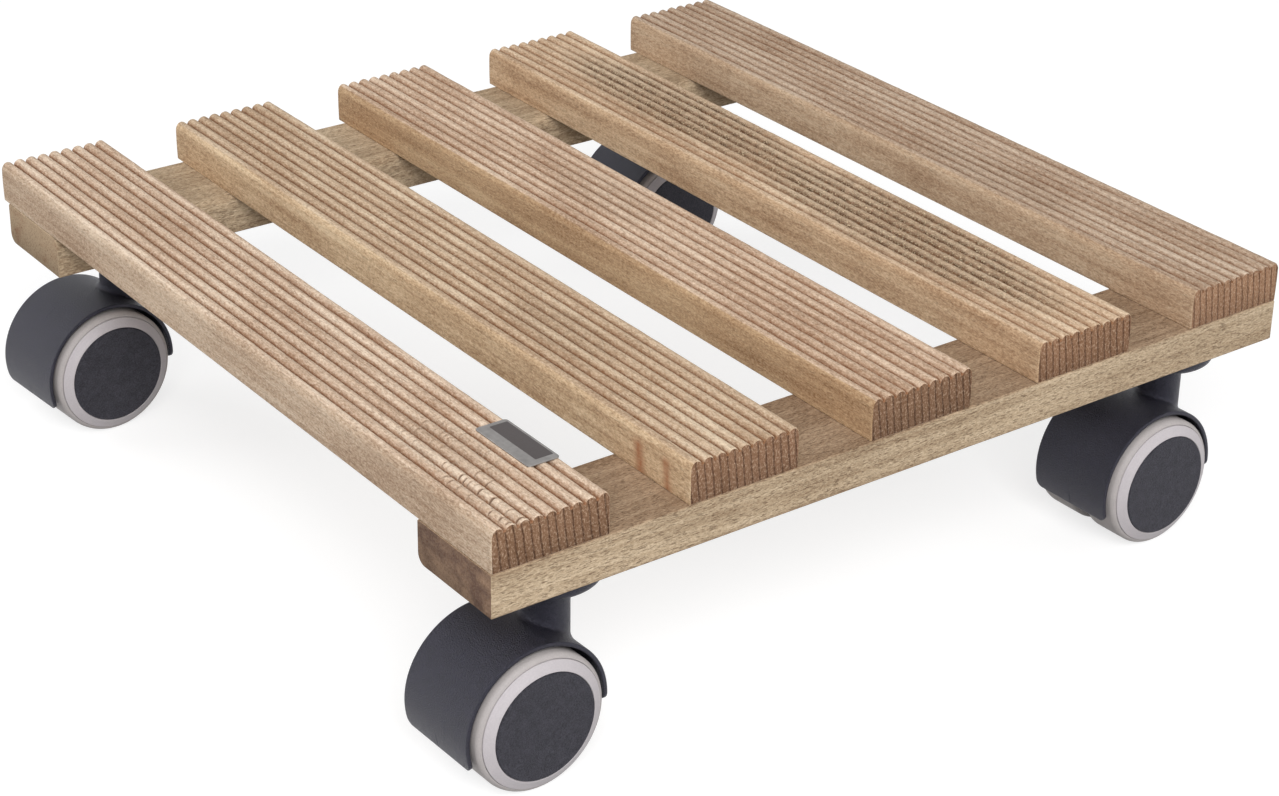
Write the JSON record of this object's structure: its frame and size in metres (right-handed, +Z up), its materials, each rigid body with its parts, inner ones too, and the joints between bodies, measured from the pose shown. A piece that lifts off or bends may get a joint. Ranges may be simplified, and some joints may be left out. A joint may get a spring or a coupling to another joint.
{
  "type": "plant caddy",
  "caption": "Square wooden plant caddy with reeded slats on battens and hooded twin-wheel swivel castors.",
  "frame": {"origin": "on the floor, under the middle of the whole outline", "axes": "+X along the battens from left to right, +Y along the slats from front to back, +Z up"},
  "size_m": [0.3602, 0.3519, 0.1039],
  "materials": {
    "slat_wood": "bare reeded softwood",
    "batten_wood": "bare planed softwood",
    "hood_plastic": "satin blue-black",
    "ring_plastic": "satin light grey",
    "cap_plastic": "matte dark grey",
    "tread_rubber": "soft matt light grey",
    "washer_plastic": "black nylon",
    "zinc_steel": "bright zinc plated",
    "label_metal": "satin, blank"
  },
  "bodies": {
    "deck": {"slat_1": "slat_wood", "slat_2": "slat_wood", "slat_3": "slat_wood", "slat_4": "slat_wood", "slat_5": "slat_wood", "batten_front": "batten_wood", "batten_back": "batten_wood", "slat_screws": "zinc_steel", "castor_screws": "zinc_steel", "grip_rings": "zinc_steel", "label_plate": "label_metal", "front_left_plate": "hood_plastic", "front_left_swivel_pin": "zinc_steel", "front_right_plate": "hood_plastic", "front_right_swivel_pin": "zinc_steel", "back_left_plate": "hood_plastic", "back_left_swivel_pin": "zinc_steel", "back_right_plate": "hood_plastic", "back_right_swivel_pin": "zinc_steel"},
    "front_left_castor": {"front_left_washer": "washer_plastic", "front_left_housing": "hood_plastic", "front_left_axle": "zinc_steel"},
    "front_left_roller_a": {"front_left_wheel_a": "ring_plastic", "front_left_tread_a": "tread_rubber", "front_left_cap_a": "cap_plastic"},
    "front_left_roller_b": {"front_left_wheel_b": "ring_plastic", "front_left_tread_b": "tread_rubber", "front_left_cap_b": "cap_plastic"},
    "front_right_castor": {"front_right_washer": "washer_plastic", "front_right_housing": "hood_plastic", "front_right_axle": "zinc_steel"},
    "front_right_roller_a": {"front_right_wheel_a": "ring_plastic", "front_right_tread_a": "tread_rubber", "front_right_cap_a": "cap_plastic"},
    "front_right_roller_b": {"front_right_wheel_b": "ring_plastic", "front_right_tread_b": "tread_rubber", "front_right_cap_b": "cap_plastic"},
    "back_left_castor": {"back_left_washer": "washer_plastic", "back_left_housing": "hood_plastic", "back_left_axle": "zinc_steel"},
    "back_left_roller_a": {"back_left_wheel_a": "ring_plastic", "back_left_tread_a": "tread_rubber", "back_left_cap_a": "cap_plastic"},
    "back_left_roller_b": {"back_left_wheel_b": "ring_plastic", "back_left_tread_b": "tread_rubber", "back_left_cap_b": "cap_plastic"},
    "back_right_castor": {"back_right_washer": "washer_plastic", "back_right_housing": "hood_plastic", "back_right_axle": "zinc_steel"},
    "back_right_roller_a": {"back_right_wheel_a": "ring_plastic", "back_right_tread_a": "tread_rubber", "back_right_cap_a": "cap_plastic"},
    "back_right_roller_b": {"back_right_wheel_b": "ring_plastic", "back_right_tread_b": "tread_rubber", "back_right_cap_b": "cap_plastic"}
  },
  "joints": [
    {"name": "front_left_swivel", "type": "hinge", "parent": "deck", "child": "front_left_castor", "pos_m": [-0.13493, -0.15254, 0.064], "axis": [0, 0, 1], "continuous": true},
    {"name": "front_left_spin_a", "type": "hinge", "parent": "front_left_castor", "child": "front_left_roller_a", "pos_m": [-0.15061, -0.1646, 0.025], "axis": [-0.0262, 0.9997, 0], "continuous": true},
    {"name": "front_left_spin_b", "type": "hinge", "parent": "front_left_castor", "child": "front_left_roller_b", "pos_m": [-0.15122, -0.14131, 0.025], "axis": [-0.0262, 0.9997, 0], "continuous": true},
    {"name": "front_right_swivel", "type": "hinge", "parent": "deck", "child": "front_right_castor", "pos_m": [0.14507, -0.15254, 0.064], "axis": [0, 0, 1], "continuous": true},
    {"name": "front_right_spin_a", "type": "hinge", "parent": "front_right_castor", "child": "front_right_roller_a", "pos_m": [0.12928, -0.16447, 0.025], "axis": [-0.0175, 0.9998, 0], "continuous": true},
    {"name": "front_right_spin_b", "type": "hinge", "parent": "front_right_castor", "child": "front_right_roller_b", "pos_m": [0.12887, -0.14117, 0.025], "axis": [-0.0175, 0.9998, 0], "continuous": true},
    {"name": "back_left_swivel", "type": "hinge", "parent": "deck", "child": "back_left_castor", "pos_m": [-0.13493, 0.15046, 0.064], "axis": [0, 0, 1], "continuous": true},
    {"name": "back_left_spin_a", "type": "hinge", "parent": "back_left_castor", "child": "back_left_roller_a", "pos_m": [-0.15007, 0.13772, 0.025], "axis": [-0.0698, 0.9976, 0], "continuous": true},
    {"name": "back_left_spin_b", "type": "hinge", "parent": "back_left_castor", "child": "back_left_roller_b", "pos_m": [-0.1517, 0.16097, 0.025], "axis": [-0.0698, 0.9976, 0], "continuous": true},
    {"name": "back_right_swivel", "type": "hinge", "parent": "deck", "child": "back_right_castor", "pos_m": [0.14507, 0.15046, 0.064], "axis": [0, 0, 1], "continuous": true},
    {"name": "back_right_spin_a", "type": "hinge", "parent": "back_right_castor", "child": "back_right_roller_a", "pos_m": [0.12907, 0.13881, 0.025], "axis": [0, 1, 0], "continuous": true},
    {"name": "back_right_spin_b", "type": "hinge", "parent": "back_right_castor", "child": "back_right_roller_b", "pos_m": [0.12907, 0.16211, 0.025], "axis": [0, 1, 0], "continuous": true}
  ]
}
